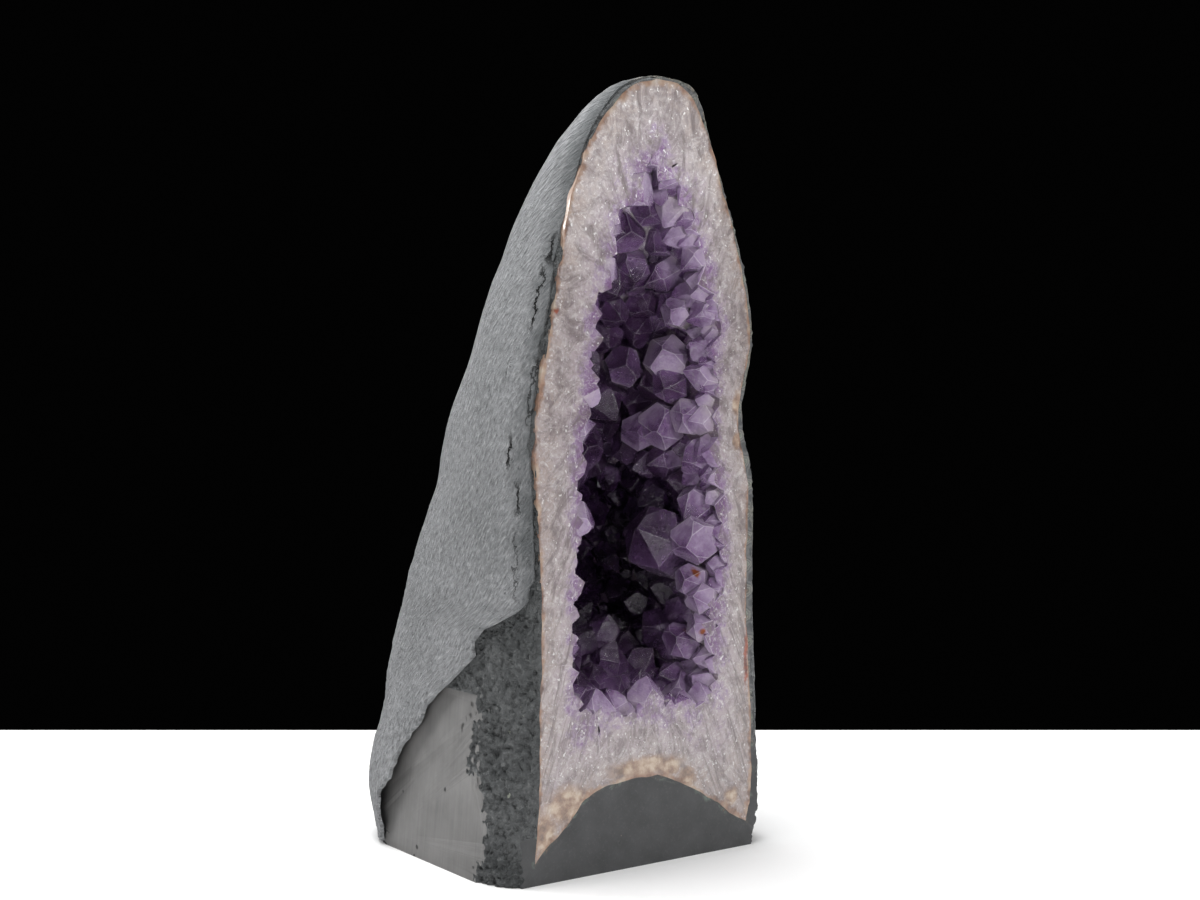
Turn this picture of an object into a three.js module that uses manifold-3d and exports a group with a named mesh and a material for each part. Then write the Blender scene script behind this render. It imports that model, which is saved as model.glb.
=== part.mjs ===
// Amethyst geode: a tall basalt nodule, sawn flat in front and underneath so that it stands on its base.
// Three pieces come apart on a bench: the basalt rock, the coat of cement brushed over its back, and the
// lining of quartz that grew in its hollow, whose amethyst points are all one with it.
// Millimetres, +Z up. The sawn front looks along -Y and the origin is under the middle of the whole piece.
import * as THREE from "three";
import { mergeVertices } from "three/addons/utils/BufferGeometryUtils.js";
import Module from "manifold-3d";

const wasm = await Module();
wasm.setup();

// ---- Driving dimensions ----
const HEIGHT = 400; // base to crown
const COAT = 2.6; // thickness of the cement
const RIND = 3; // basalt left beside the quartz at the sawn face
const BACK_WALL = 13; // basalt behind the quartz
const BULGE = { base: 17, crown: 4 }; // how far the sides swell behind the saw cut
const BULGE_RISE = 5.4; // how soon behind the cut they do
const SQUARENESS = { base: 4.2, crown: 2.4 }; // of the cross-section, 2 being an ellipse
const SOLE = 9; // basalt under the feet of the quartz
const GAP = 0.3; // clearance between pieces that touch
const FLOOR_GAP = 1.6; // the cement stops this far above the base
const ARCH = { x: 2, halfWidth: 66, height: 46 }; // the tongue of basalt under the quartz
const CRYSTAL_PITCH = 29; // distance between neighbouring points on the wall of the hollow
const CRYSTAL_RADIUS = 15; // of a middling point
const CRYSTAL_LENGTH = 1.25; // of a middling point, in radii
const CRYSTAL_ROOT = 7; // how deep a point is rooted in the quartz

// The nodule at the saw cut: [height, left edge, right edge, depth behind the cut].
const NODULE = [
  [0, -73, 72, 150],
  [24, -74, 77, 158],
  [60, -68, 75, 160],
  [105, -65, 73, 154],
  [150, -63, 72, 137],
  [190, -64, 72, 115],
  [230, -64, 65, 99],
  [265, -58, 72, 88],
  [300, -51, 67, 76],
  [335, -42, 55, 60],
  [365, -32, 44, 41],
  [385, -18, 37, 23],
  [394, -6, 30, 12],
  [398, 9, 12, 2],
];

// The hollow inside the quartz, in the same terms.
const HOLLOW = [
  [84, -30, 38, 62],
  [89, -40, 47, 86],
  [105, -43, 50, 98],
  [135, -44, 53, 102],
  [165, -43, 56, 97],
  [200, -41, 50, 85],
  [240, -36, 47, 70],
  [270, -31, 50, 62],
  [300, -24, 43, 52],
  [330, -13, 31, 38],
  [352, -3, 20, 24],
  [366, 8, 8, 6],
];

// Ragged edges of the cement, as [behind the saw cut, height], from the crown down.
const LEFT_EDGE = [
  [2, 410], [2, 345], [3.5, 317], [2.5, 290], [4, 265], [2.5, 240], [3.5, 215], [2, 192], [2, 152],
  [8, 136], [21, 129], [34, 121], [38, 107], [50, 98], [62, 91], [73, 82], [86, 64], [99, 49],
  [105, 40], [113, 28], [116, 16], [114, -5],
];
const RIGHT_EDGE = [
  [2, 410], [2.5, 340], [5, 300], [2.5, 250], [6, 215], [3, 180], [7, 120], [5, 70], [12, 48], [16, -5],
];

// The flat sawn low on the left: where its plane stands across at the saw cut, its slopes in degrees and
// how high it reaches.
const FACET = { x: -82.5, lean: 5, turn: 2, top: 92 };

// The biggest point, low on the right: on the wall at this share of the way round and this height.
const BIG_POINT = { around: 0.09, up: 0.31, radius: 14, length: 24 };

// The points that stand on the floor of the hollow: [across, behind the saw cut, radius, length].
const FLOOR_ROW = [
  [-30, 12, 10, 12],
  [-12, 10, 11, 17],
  [8, 14, 14, 20],
  [28, 12, 11, 14],
  [-20, 36, 12, 18],
  [18, 42, 12, 16],
];

// ---- Helpers ----

// A closed solid from a three.js geometry.
function solid(geometry) {
  const bare = new THREE.BufferGeometry();
  bare.setAttribute("position", geometry.getAttribute("position"));
  bare.setIndex(geometry.getIndex());
  const merged = mergeVertices(bare, 1e-3);
  return new wasm.Manifold(
    new wasm.Mesh({
      numProp: 3,
      vertProperties: merged.attributes.position.array,
      triVerts: new Uint32Array(merged.index.array),
    }),
  );
}

function box(from, to) {
  const size = to.map((end, axis) => end - from[axis]);
  const middle = to.map((end, axis) => (end + from[axis]) / 2);
  return solid(new THREE.BoxGeometry(...size).translate(...middle));
}

// The solid's triangles as a three.js geometry.
function geometryOf(manifold) {
  const mesh = manifold.getMesh();
  const geometry = new THREE.BufferGeometry();
  geometry.setAttribute("position", new THREE.BufferAttribute(mesh.vertProperties, 3));
  geometry.setIndex(new THREE.BufferAttribute(mesh.triVerts, 1));
  return geometry;
}

// Smooth values between the stations of a table: share 0 is the first row and 1 the last.
function stationsOf(table) {
  const curves = table[0].map((_, column) => {
    const points = table.map((row, index) => new THREE.Vector2(index, row[column]));
    return new THREE.SplineCurve(points);
  });
  return (share) => {
    const [height, left, right, depth] = curves.map((curve) => curve.getPoint(share).y);
    return { height, left, right, depth };
  };
}

// The wall of a tall D-shaped form at a share of its height and of the way round from right to left.
// bulge is its share of the rock's swelling behind the cut, and lumps how uneven it is.
function wallPoint(station, up, around, { bulge, lumps }) {
  const { height, left, right, depth } = station(up);
  const half = (right - left) / 2;
  const angle = Math.PI * around;
  const [cos, sin] = [Math.cos(angle), Math.sin(angle)];
  const rise = height / HEIGHT;
  const squareness = THREE.MathUtils.lerp(SQUARENESS.base, SQUARENESS.crown, rise);
  const waves = [3 * angle + 17 * rise, 5 * angle - 29 * rise + 1, 2 * angle + 41 * rise];
  const swell = 1 + lumps * sin * waves.reduce((sum, wave) => sum + Math.sin(wave), 0);
  const outward = bulge * THREE.MathUtils.lerp(BULGE.base, BULGE.crown, rise);
  const a = (half + outward * (1 - Math.exp(-BULGE_RISE * sin))) * swell;
  const b = Math.max(depth, 0.5) * swell;
  const reach = (Math.abs(cos / a) ** squareness + Math.abs(sin / b) ** squareness) ** (-1 / squareness);
  return new THREE.Vector3((left + right) / 2 + reach * cos, reach * sin, height);
}

// A closed D-shaped loft: a sphere's vertices moved to the flat front, the wall and the flat base.
// front is where the flat side stands, a little before the saw cut that takes it off.
function loft(table, shape, { rows = 22, wall = 18, face = 4 } = {}) {
  const station = stationsOf(table);
  const columns = face + 1 + wall + 1;
  const sphere = new THREE.SphereGeometry(1, columns, rows);
  const position = sphere.getAttribute("position");
  const uv = sphere.getAttribute("uv");
  const base = station(0);
  for (let i = 0; i < position.count; i++) {
    const row = Math.round((1 - uv.getY(i)) * rows);
    const column = Math.round(uv.getX(i) * columns);
    const up = row === 0 ? 1 : 1 - (row - 1) / (rows - 2);
    const point = new THREE.Vector3();
    if (row === rows) {
      point.set((base.left + base.right) / 2, base.depth / 2, base.height);
    } else if (row === 0) {
      const crown = station(1);
      point.set((crown.left + crown.right) / 2, shape.front, crown.height);
    } else if (column <= face || column === columns) {
      const { height, left, right } = station(up);
      point.set(THREE.MathUtils.lerp(left, right, (column % columns) / face), shape.front, height);
    } else {
      point.copy(wallPoint(station, up, (column - face - 1) / wall, shape));
    }
    position.setXYZ(i, point.x, point.y, point.z);
  }
  return solid(sphere);
}

// The nodule's table drawn in by so much at the sides, the back, the crown and the base. Heights only
// change near the ends, so that forms drawn in by different amounts lie evenly inside one another.
function drawnIn(side, back, top, bottom) {
  const END = 60;
  return NODULE.map(([height, left, right, depth]) => {
    const nearBase = Math.max(0, 1 - height / END);
    const nearCrown = Math.max(0, 1 - (HEIGHT - height) / END);
    const inset = Math.min(side, (right - left) / 2 - 1);
    const moved = height + bottom * nearBase - top * nearCrown;
    return [moved, left + inset, right - inset, Math.max(depth - back, 1)];
  });
}

// A prism from an outline of [behind the cut, height] points, running across between two places on X.
function sideways(outline, fromX, toX) {
  const shape = new THREE.Shape(outline.map(([y, z]) => new THREE.Vector2(y, z)));
  const prism = new THREE.ExtrudeGeometry(shape, { depth: toX - fromX, bevelEnabled: false });
  prism.applyMatrix4(new THREE.Matrix4().set(0, 0, 1, fromX, 1, 0, 0, 0, 0, 1, 0, 0, 0, 0, 0, 1));
  return solid(prism);
}

// The arched tongue of basalt that the quartz sits astride, as deep as the nodule.
function archPlug(grow) {
  const shape = new THREE.Shape();
  shape.absellipse(ARCH.x, 0, ARCH.halfWidth + grow, ARCH.height + grow, 0, Math.PI, false);
  const depth = 200;
  const plug = new THREE.ExtrudeGeometry(shape, { depth, bevelEnabled: false, curveSegments: 16 });
  plug.rotateX(Math.PI / 2).translate(0, depth - 10, 0);
  return solid(plug);
}

// ---- The quartz points ----

let drawn = 0;
// The next number of a fixed series, spread evenly from -1 to 1.
function jitter() {
  drawn += 1;
  return 2 * THREE.MathUtils.seededRandom(drawn * 7919) - 1;
}

const HOLLOW_SHAPE = { bulge: 0.5, lumps: 0, front: -4 };
const hollowAt = stationsOf(HOLLOW);

// One six-sided point with its root sunk in the quartz.
function crystal(foot, axis, radius, length) {
  const profile = [
    new THREE.Vector2(0, -CRYSTAL_ROOT),
    new THREE.Vector2(1.15 * radius, -CRYSTAL_ROOT),
    new THREE.Vector2(0.85 * radius, length - 0.9 * radius),
    new THREE.Vector2(0, length),
  ];
  const point = new THREE.LatheGeometry(profile, 6);
  point.rotateY(Math.PI * jitter());
  point.applyQuaternion(new THREE.Quaternion().setFromUnitVectors(new THREE.Vector3(0, 1, 0), axis));
  return solid(point.translate(foot.x, foot.y, foot.z));
}

// A point standing square on the wall of the hollow, give or take some tilt.
function wallCrystal(around, up, radius, length, tilt) {
  const at = (a, u) => wallPoint(hollowAt, u, a, HOLLOW_SHAPE);
  const step = 0.004; // to the neighbouring places that give the wall's slope
  const along = at(Math.min(around + step, 1), up).sub(at(Math.max(around - step, 0), up));
  const rising = at(around, Math.min(up + step, 1)).sub(at(around, Math.max(up - step, 0)));
  const inward = along.cross(rising).normalize().negate();
  const lean = new THREE.Vector3(jitter(), jitter(), jitter()).multiplyScalar(tilt);
  return crystal(at(around, up), inward.add(lean).normalize(), radius, length);
}

// Points in rows all over the wall, each a little out of line and of its own size.
function crystals() {
  const points = [];
  const tall = HOLLOW.at(-1)[0] - HOLLOW[0][0];
  const rows = Math.round(tall / CRYSTAL_PITCH);
  for (let row = 0; row < rows; row++) {
    const up = THREE.MathUtils.lerp(0.05, 0.92, (row + 0.5) / rows);
    const { left, right, depth } = hollowAt(up);
    const girth = right - left + 1.8 * depth;
    const columns = Math.max(3, Math.round(girth / CRYSTAL_PITCH));
    for (let column = 0; column < columns; column++) {
      const offset = (row % 2) / 2 + 0.25;
      const around = (column + offset + 0.2 * jitter()) / columns;
      const radius = CRYSTAL_RADIUS * (1 + 0.28 * jitter());
      const length = radius * (CRYSTAL_LENGTH + 0.35 * jitter());
      points.push(wallCrystal(around, up + 0.018 * jitter(), radius, length, 0.22));
    }
  }
  for (const [x, y, radius, length] of FLOOR_ROW) {
    const foot = new THREE.Vector3(x, y, HOLLOW[0][0]);
    points.push(crystal(foot, new THREE.Vector3(0.1 * jitter(), 0.25, 1).normalize(), radius, length));
  }
  const { around, up, radius, length } = BIG_POINT;
  points.push(wallCrystal(around, up, radius, length, 0.05));
  return wasm.Manifold.union(points);
}

// ---- The pieces ----

const ROCK_SHAPE = { bulge: 1, lumps: 0.006, front: -1 };
const POCKET_SHAPE = { bulge: 0.4, lumps: 0, front: -2 };
const REACH = { side: 200, back: 300, below: -50, above: 500 }; // well outside the nodule

// All the space behind the saw cut, above a height.
function behindCut(bottom = REACH.below) {
  return box([-REACH.side, 0, bottom], [REACH.side, REACH.back, REACH.above]);
}

// The rock, hollowed for the quartz, with the flat sawn on its left side.
function basaltMatrix() {
  const nodule = loft(NODULE, ROCK_SHAPE).intersect(behindCut());
  const pocket = loft(drawnIn(RIND, BACK_WALL, RIND, SOLE), POCKET_SHAPE);
  const tall = FACET.top - REACH.below;
  const saw = new THREE.BoxGeometry(60, 200, tall).translate(-30, 90, FACET.top - tall / 2);
  saw.rotateY(THREE.MathUtils.degToRad(FACET.lean));
  saw.rotateZ(THREE.MathUtils.degToRad(FACET.turn));
  saw.translate(FACET.x, 0, 0);
  return nodule.subtract(pocket.subtract(archPlug(0))).subtract(solid(saw));
}

// The space in front of one ragged edge of the cement, on one side of the nodule.
function inFrontOf(edge, fromX, toX) {
  const before = -20;
  const [atCrown] = edge[0];
  const [atBase] = edge.at(-1);
  const around = [[before, REACH.below], [before, REACH.above], [atCrown, REACH.above]];
  return sideways([...around, ...edge, [atBase, REACH.below]], fromX, toX);
}

// The cement: a thin shell over the back, sides and crown, broken away low on the left.
function cementCoat() {
  const outer = loft(drawnIn(-COAT, -COAT, -COAT, 0), ROCK_SHAPE);
  const inner = loft(drawnIn(-GAP, -GAP, -GAP, 0), { ...ROCK_SHAPE, front: -2 });
  const crownX = NODULE.at(-1)[1];
  return outer
    .subtract(inner)
    .intersect(behindCut(FLOOR_GAP))
    .subtract(inFrontOf(LEFT_EDGE, -REACH.side, crownX + 1))
    .subtract(inFrontOf(RIGHT_EDGE, crownX + 1, REACH.side));
}

// The quartz with its hollow, and every amethyst point grown together with it.
function amethystDruse() {
  const inset = RIND + GAP;
  const table = drawnIn(inset, BACK_WALL + GAP, 3 * RIND, SOLE + GAP);
  const envelope = loft(table, POCKET_SHAPE).subtract(archPlug(GAP));
  const lining = envelope.subtract(loft(HOLLOW, HOLLOW_SHAPE));
  return lining.add(crystals().intersect(envelope)).intersect(behindCut());
}

const PIECES = [
  ["basalt_matrix", basaltMatrix, { color: 0x4d4e51, roughness: 0.85, metalness: 0 }],
  ["cement_coat", cementCoat, { color: 0x8d9092, roughness: 0.95, metalness: 0 }],
  ["amethyst_druse", amethystDruse, { color: 0x8a6a9e, roughness: 0.2, metalness: 0 }],
];

const geode = new THREE.Group();
geode.name = "amethyst_geode";
for (const [name, make, finish] of PIECES) {
  const mesh = new THREE.Mesh(geometryOf(make()), new THREE.MeshStandardMaterial(finish));
  mesh.name = name;
  geode.add(mesh);
}

// The origin goes under the middle of the finished piece.
const extent = new THREE.Box3().setFromObject(geode);
const middle = extent.getCenter(new THREE.Vector3());
geode.position.set(-middle.x, -middle.y, -extent.min.z);

export default geode;
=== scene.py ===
"""Amethyst geode: a basalt nodule sawn flat in front, its cement coat, its quartz lining and the points in it."""
import math
import random

import bmesh
import bpy
from bpy.props import FloatProperty, FloatVectorProperty, IntProperty, PointerProperty
from mathutils import Matrix, Vector, kdtree, noise


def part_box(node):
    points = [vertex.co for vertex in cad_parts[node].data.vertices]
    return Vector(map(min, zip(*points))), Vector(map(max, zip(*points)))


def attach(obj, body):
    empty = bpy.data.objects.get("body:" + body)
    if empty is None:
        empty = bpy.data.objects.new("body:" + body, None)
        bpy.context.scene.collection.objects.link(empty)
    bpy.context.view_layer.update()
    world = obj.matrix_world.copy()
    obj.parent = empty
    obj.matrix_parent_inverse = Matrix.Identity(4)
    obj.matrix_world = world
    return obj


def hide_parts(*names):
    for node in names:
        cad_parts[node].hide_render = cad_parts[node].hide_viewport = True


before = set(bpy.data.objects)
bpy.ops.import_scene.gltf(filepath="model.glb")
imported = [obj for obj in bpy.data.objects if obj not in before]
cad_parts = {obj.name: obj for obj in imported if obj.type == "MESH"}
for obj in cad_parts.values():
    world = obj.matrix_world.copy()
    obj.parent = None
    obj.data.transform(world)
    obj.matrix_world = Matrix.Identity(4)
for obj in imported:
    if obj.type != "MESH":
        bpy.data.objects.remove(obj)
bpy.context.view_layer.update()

bl_info = {
    "name": "Amethyst geode",
    "version": (1, 0, 0),
    "blender": (4, 5, 0),
    "location": "3D View > Sidebar > Geode",
    "description": "Builds a standing amethyst geode around its packed model",
    "category": "Add Mesh",
}

MM = 0.001

# The rock's own axes: x across from the middle of the sawn front's foot, y behind the saw cut, z up.
FRONT_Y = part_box("basalt_matrix")[0][1]
MIDDLE_X = -3.967 * MM
HEIGHT = 400
BULGE = (17, 4)  # how far the sides swell behind the saw cut, at the base and at the crown
BULGE_RISE = 5.4  # how soon behind the cut they do
SQUARENESS = (4.2, 2.4)  # of the nodule's section, at the base and at the crown
LUMPS = 0.006  # share of its size by which the nodule swells and shrinks

# The nodule at the saw cut: height, left edge, right edge, depth behind the cut.
NODULE = [
    (0, -73, 72, 150),
    (24, -74, 77, 158),
    (60, -68, 75, 160),
    (105, -65, 73, 154),
    (150, -63, 72, 137),
    (190, -64, 72, 115),
    (230, -64, 65, 99),
    (265, -58, 72, 88),
    (300, -51, 67, 76),
    (335, -42, 55, 60),
    (365, -32, 44, 41),
    (385, -18, 37, 23),
    (394, -6, 30, 12),
    (398, 9, 12, 2),
]

# Ragged edges of the cement, as (behind the saw cut, height), from the crown down.
LEFT_EDGE = [
    (2, 410), (2, 345), (3.5, 317), (2.5, 290), (4, 265), (2.5, 240), (3.5, 215), (2, 192), (2, 152),
    (8, 136), (21, 129), (34, 121), (38, 107), (50, 98), (62, 91), (73, 82), (86, 64), (99, 49), (105, 40),
    (113, 28), (116, 16), (114, -5),
]
RIGHT_EDGE = [
    (2, 410), (2.5, 340), (5, 300), (2.5, 250), (6, 215), (3, 180), (7, 120), (5, 70), (12, 48), (16, -5),
]

# The flat sawn low on the left: where its plane stands across at the saw cut, and how it leans and turns.
FACET = {"x": -87, "lean": 5, "turn": -3, "top": 92}

# The quartz on the sawn face, as (across, height): its edge against the rock and the rim of the hollow,
# each as its left side from the crown down, its foot from left to right, and its right side going up.
QUARTZ_EDGE = [
    [
        (9, 397), (-7, 393), (-19, 383), (-30, 369), (-38, 353), (-45, 334), (-49, 312), (-53, 292), (-57, 270),
        (-62, 248), (-65, 225), (-65, 200), (-63, 170), (-62, 140), (-62, 110), (-63, 85), (-63, 60), (-64, 38),
        (-65, 20), (-66, 11),
    ],
    [
        (-66, 11), (-58, 19), (-51, 24), (-42, 32), (-36, 39), (-26, 43), (-14, 45), (2, 46), (15, 44), (32, 36),
        (45, 29), (58, 20), (70, 13),
    ],
    [
        (70, 13), (73, 30), (73, 54), (72, 80), (70, 109), (69, 140), (70, 172), (70, 190), (67, 204), (63.5, 219),
        (64, 235), (68, 250), (71, 266), (69.5, 281), (66, 297), (62, 312), (57.5, 328), (52, 343), (47, 358),
        (41, 373), (33, 387), (23, 395), (9, 397),
    ],
]
HOLLOW_RIM = [
    [
        (7, 364), (-4, 352), (-13, 335), (-20, 315), (-26, 295), (-31, 275), (-34, 255), (-37, 235), (-39, 210),
        (-40, 185), (-41, 160), (-43, 135), (-43, 112), (-43, 96), (-40, 85),
    ],
    [(-40, 85), (-28, 80), (-10, 78), (10, 80), (30, 77), (43, 76)],
    [
        (43, 76), (50, 90), (51, 110), (53, 130), (57, 155), (55, 180), (51, 205), (50, 230), (51, 255),
        (51, 275), (46, 295), (40, 315), (32, 332), (20, 350), (7, 364),
    ],
]
HOLLOW_HEART = Vector((6, 0, 205))  # every section of the hollow shrinks towards this point
HOLLOW_DEPTH = [(60, 40), (84, 62), (105, 96), (135, 102), (165, 97), (200, 88), (240, 72), (270, 62), (300, 52),
                (330, 40), (352, 27), (366, 14), (380, 8), (400, 6)]
WALL_SQUARENESS = 2.7
ROCK_BEHIND_QUARTZ = 12
BREAKS = [(0.8, 13), (0.5, 6), (0.8, 3), (0.5, 1.6)]  # share and size of each grain of the broken rock

# Points that stand out: where the foot is, which way it points, radius, length in front of the foot,
# and how pale it is from 0 to 1.
CHOSEN_POINTS = [
    ((49, 16, 163), (-0.79, -0.6, -0.13), 13.5, 21, 0.62),
    ((44, 38, 158), (-0.85, -0.41, 0.34), 18, 32, 0.12),
    ((48, 17, 141), (-0.8, -0.55, 0.1), 9, 17, 0.6),
    ((50, 10, 131), (-0.85, -0.45, 0.25), 9, 17, 0.75),
    ((48, 9, 117), (-0.8, -0.5, 0.3), 9, 14, 0.8),
    ((44, 22, 108), (-0.75, -0.6, 0.3), 10, 14, 0.4),
    ((-34, 7, 70), (0.25, -0.35, 0.9), 10, 13, 0.9),
    ((-22, 10, 72), (-0.05, -0.1, 1.0), 11, 21, 0.75),
    ((-8, 12, 74), (-0.35, -0.05, 1.0), 8.5, 18, 0.6),
    ((9, 9, 72), (-0.02, -0.1, 1.0), 11, 24, 0.8),
    ((32, 9, 68), (0.05, -0.1, 1.0), 10, 18, 0.8),
    ((46, 7, 79), (-0.45, -0.1, 0.9), 8.5, 12, 0.8),
    ((24, 26, 76), (0.0, -0.3, 1.0), 10, 13, 0.3),
    ((-6, 28, 76), (0.2, -0.3, 1.0), 10, 13, 0.3),
    ((-30, 24, 82), (0.6, -0.4, 0.7), 11, 14, 0.5),
    ((38, 50, 217), (-0.66, -0.72, 0.05), 11, 19, 0.55),
    ((43, 38, 221), (-0.7, -0.7, -0.1), 13, 20, 0.6),
    ((47, 20, 226), (-0.8, -0.6, 0.1), 10.5, 15, 0.75),
    ((43, 30, 243), (-0.75, -0.6, -0.1), 11, 15, 0.3),
    ((42, 32, 256), (-0.7, -0.6, 0.35), 13, 16, 0.8),
    ((30, 55, 251), (-0.5, -0.8, 0.1), 12, 18, 0.4),
    ((6, 68, 208), (-0.2, -0.9, 0.1), 17, 20, 0.15),
    ((0, 58, 286), (-0.1, -0.9, 0.3), 12, 16, 0.75),
    ((38, 20, 280), (-0.8, -0.6, 0.15), 8, 12, 0.6),
    ((16, 38, 322), (-0.3, -0.9, 0.0), 13, 16, 0.35),
    ((12, 30, 345), (-0.2, -0.9, -0.2), 10, 11, 0.3),
]
FIRST_SPINS = [math.radians(66), math.radians(66) + 0.25]  # how the first two are turned about their axes
TIP_LEAN = math.radians(51.8)  # between a tip face's normal and the point's axis


# ---- Sizes and colours ----


def colour_setting(name, description, value):
    """A colour on the panel."""
    return FloatVectorProperty(name=name, description=description, subtype="COLOR", size=4, default=value)


class GeodeProps(bpy.types.PropertyGroup):
    """The sizes and colours that a user would change."""

    coat: FloatProperty(
        name="Cement thickness", description="How thick the cement is brushed on", default=2.6 * MM,
        min=1 * MM, max=4 * MM, unit="LENGTH",
    )
    ridges: FloatProperty(
        name="Brush ridges", description="Height of the ridges in the cement", default=0.42 * MM,
        min=0, max=1 * MM, unit="LENGTH",
    )
    roughness: FloatProperty(
        name="Broken rock", description="Depth of the hollows in the broken basalt", default=4.5 * MM,
        min=0, max=8 * MM, unit="LENGTH",
    )
    spacing: FloatProperty(
        name="Point spacing", description="Distance between neighbouring large points", default=14 * MM,
        min=8 * MM, max=20 * MM, unit="LENGTH",
    )
    seed: IntProperty(name="Seed", description="Picks another growth of the points", default=11, min=0)
    cement: colour_setting("Cement", "Colour of the dry cement", (0.27, 0.275, 0.285, 1))
    basalt: colour_setting("Basalt", "Colour of the sawn basalt", (0.07128, 0.072, 0.07488, 1))
    milk: colour_setting("Milky quartz", "Colour of the quartz next to the rock", (0.56, 0.5, 0.5, 1))
    violet: colour_setting("Amethyst", "Colour of the points' tips", (0.17, 0.075, 0.21, 1))


def props():
    """The scene's geode settings."""
    return bpy.context.scene.geode


# ---- Shapes ----


def at(x, y, z):
    """A place in the rock's own axes, in millimetres, as a place in the model's frame, in metres."""
    return Vector((MIDDLE_X + x * MM, FRONT_Y + y * MM, z * MM))


def mix(a, b, share):
    """A value between two others."""
    return a + (b - a) * share


def smooth_step(low, high, value):
    """0 below low, 1 above high, and smooth between."""
    share = min(1, max(0, (value - low) / (high - low)))
    return share * share * (3 - 2 * share)


def spline(rows, share):
    """The values of a table at a share of its length, smooth from row to row."""
    place = share * (len(rows) - 1)
    index = min(int(place), len(rows) - 2)
    t = place - index
    near = [rows[min(max(index + step, 0), len(rows) - 1)] for step in (-1, 0, 1, 2)]
    values = []
    for p0, p1, p2, p3 in zip(*near):
        v0, v1 = (p2 - p0) / 2, (p3 - p1) / 2
        values.append((2 * p1 - 2 * p2 + v0 + v1) * t**3 + (3 * p2 - 3 * p1 - 2 * v0 - v1) * t**2 + v0 * t + p1)
    return values


def lookup(pairs, value):
    """Straight lines between (value, result) pairs in rising order."""
    for (a, first), (b, second) in zip(pairs, pairs[1:]):
        if value <= b:
            return mix(first, second, min(1, max(0, (value - a) / (b - a))))
    return pairs[-1][1]


def wall_point(share, around):
    """A place on the nodule, in millimetres: share of the height, and of the way from right to left."""
    height, left, right, depth = spline(NODULE, share)
    half = (right - left) / 2
    angle = math.pi * around
    cos, sin = math.cos(angle), max(math.sin(angle), 0)
    rise = height / HEIGHT
    squareness = mix(*SQUARENESS, rise)
    ripple = math.sin(3 * angle + 17 * rise) + math.sin(5 * angle - 29 * rise + 1) + math.sin(41 * rise + 2 * angle)
    swell = 1 + LUMPS * sin * ripple
    a = (half + mix(*BULGE, rise) * (1 - math.exp(-BULGE_RISE * sin))) * swell
    b = max(depth, 0.5) * swell
    reach = (abs(cos / a) ** squareness + abs(sin / b) ** squareness) ** (-1 / squareness)
    return Vector(((left + right) / 2 + reach * cos, reach * sin, height))


def share_at(height):
    """The share of the nodule's table at which it is this high."""
    low, high = 0, 1
    for _ in range(24):
        middle = (low + high) / 2
        low, high = (middle, high) if spline(NODULE, middle)[0] < height else (low, middle)
    return low


def around_at(share, behind, left):
    """The way round at which the wall stands this far behind the saw cut, on the left or on the right."""
    edge, back = (1, 0.5) if left else (0, 0.5)
    for _ in range(24):
        middle = (edge + back) / 2
        if wall_point(share, middle).y < behind:
            edge = middle
        else:
            back = middle
    return (edge + back) / 2


def evenly(points, count):
    """A broken line as so many points at equal steps along it, the last one left out."""
    points = [Vector(p) for p in points]
    lengths = [0]
    for a, b in zip(points, points[1:]):
        lengths.append(lengths[-1] + (b - a).length)
    result = []
    index = 0
    for step in range(count):
        target = lengths[-1] * step / count
        while lengths[index + 1] < target:
            index += 1
        share = (target - lengths[index]) / (lengths[index + 1] - lengths[index])
        result.append(points[index].lerp(points[index + 1], share))
    return result


def ring(sides, counts):
    """A closed outline of three sides, each cut into so many equal steps."""
    result = []
    for side, count in zip(sides, counts):
        result += evenly([spline(side, i / (8 * len(side))) for i in range(8 * len(side) + 1)], count)
    return [p + Vector((ragged(*p, 0), ragged(*p, 7))) for p in result]


def ragged(x, z, other):
    """How far a broken or grown edge strays at a place, in millimetres."""
    return 0.8 * wave(x, z, other, 11) + 0.5 * wave(x, z, other, 4) + 0.3 * wave(x, z, other, 1.9)


def finish_piece(name, mesh, materials, node):
    """Puts a finished mesh in the scene as a piece of the geode."""
    piece = bpy.data.objects.new(name, mesh)
    bpy.context.scene.collection.objects.link(piece)
    for material in materials:
        mesh.materials.append(material)
    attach(piece, "root")
    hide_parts(node)
    return piece


def on_sphere(vert, columns, rows):
    """The row from the top and the column of a new sphere's vertex."""
    row = round(math.acos(min(1, max(-1, vert.co.z))) / math.pi * rows)
    return row, round(math.atan2(vert.co.y, vert.co.x) / math.tau * columns) % columns


def mesh_of(bm, name):
    """The bmesh as a mesh, with the bmesh freed."""
    mesh = bpy.data.meshes.new(name)
    bm.to_mesh(mesh)
    bm.free()
    return mesh


def saw(bm, point, normal):
    """Cuts off what lies beyond a plane and closes the cut."""
    everything = bm.verts[:] + bm.edges[:] + bm.faces[:]
    cut = bmesh.ops.bisect_plane(bm, geom=everything, plane_co=point, plane_no=normal, clear_outer=True)
    edges = [item for item in cut["geom_cut"] if isinstance(item, bmesh.types.BMEdge)]
    if edges:
        bmesh.ops.holes_fill(bm, edges=edges, sides=0)


def take_away(mesh, cutter_mesh):
    """The mesh with the shape of another cut out of it."""
    body = bpy.data.objects.new("body", mesh)
    cutter = bpy.data.objects.new("cutter", cutter_mesh)
    for item in (body, cutter):
        bpy.context.scene.collection.objects.link(item)
    modifier = body.modifiers.new("cut", "BOOLEAN")
    modifier.object = cutter
    modifier.operation = "DIFFERENCE"
    modifier.solver = "MANIFOLD"
    graph = bpy.context.evaluated_depsgraph_get()
    result = bpy.data.meshes.new_from_object(body.evaluated_get(graph))
    for item in (body, cutter):
        bpy.data.objects.remove(item)
    return result


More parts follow.
